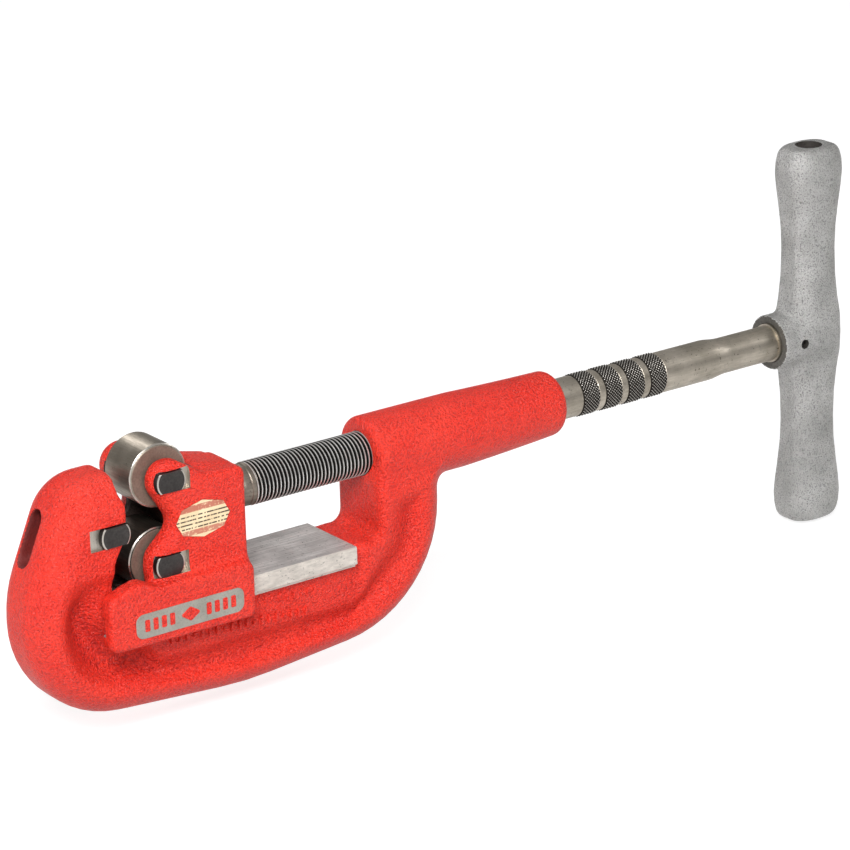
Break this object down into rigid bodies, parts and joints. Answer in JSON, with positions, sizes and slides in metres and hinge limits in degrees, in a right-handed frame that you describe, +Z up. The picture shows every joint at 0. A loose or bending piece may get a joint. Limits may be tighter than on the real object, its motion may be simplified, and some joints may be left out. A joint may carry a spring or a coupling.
{
  "type": "pipe cutter",
  "caption": "Heavy-duty hand pipe cutter: a C-frame with a cutter wheel, a sliding roll housing on its rail, and a long feed screw with a T-handle.",
  "frame": {"origin": "middle of the box round the whole tool, at the height of its lowest point, with the tool as pictured: screw level and handle bar upright", "axes": "+X from the hook along the screw to the T-handle, +Y to the far side, away from the label, +Z up, from the lower beam to the screw"},
  "size_m": [0.4948, 0.056, 0.204],
  "materials": {
    "red_enamel": "satin enamel over sand-cast iron",
    "nut_iron": "machined",
    "screw_steel": "turned, lightly oiled",
    "handle_metal": "as cast, tumbled",
    "roll_steel": "brown heat-treated",
    "wheel_steel": "black oxide",
    "pin_steel": "black oxide",
    "clip_steel": "spring steel",
    "label_paper": "printed, semi-gloss"
  },
  "bodies": {
    "frame": {"frame": "red_enamel", "feed_nut": "nut_iron", "wheel_pin": "pin_steel", "wheel_clip": "clip_steel"},
    "housing": {"slide_housing": "red_enamel", "thrust_disc": "clip_steel", "upper_retaining_pin": "pin_steel", "lower_retaining_pin": "pin_steel", "upper_roll_pin": "pin_steel", "lower_roll_pin": "pin_steel", "upper_roll_clip": "clip_steel", "lower_roll_clip": "clip_steel", "housing_label": "label_paper"},
    "screw": {"feed_screw": "screw_steel", "t_handle": "handle_metal", "handle_pin": "pin_steel"},
    "upper_roll": {"upper_roll": "roll_steel"},
    "lower_roll": {"lower_roll": "roll_steel"},
    "cutter_wheel": {"cutter_wheel": "wheel_steel"}
  },
  "joints": [
    {"name": "housing_slide", "type": "slide", "parent": "frame", "child": "housing", "axis": [1, 0, 0], "range_m": [-0.003, 0.06]},
    {"name": "screw_turn", "type": "hinge", "parent": "housing", "child": "screw", "pos_m": [0, 0, 0.102], "axis": [1, 0, 0], "range_deg": [-508, 10200]},
    {"name": "upper_roll_spin", "type": "hinge", "parent": "housing", "child": "upper_roll", "pos_m": [-0.17525, 0, 0.122], "axis": [0, 1, 0], "continuous": true},
    {"name": "lower_roll_spin", "type": "hinge", "parent": "housing", "child": "lower_roll", "pos_m": [-0.17785, 0, 0.082], "axis": [0, 1, 0], "continuous": true},
    {"name": "cutter_wheel_spin", "type": "hinge", "parent": "frame", "child": "cutter_wheel", "pos_m": [-0.20465, 0, 0.102], "axis": [0, 1, 0], "continuous": true}
  ],
  "couplings": [
    {"joint": "housing_slide", "follows": "screw_turn", "m_per_rad": 0.00033688}
  ]
}
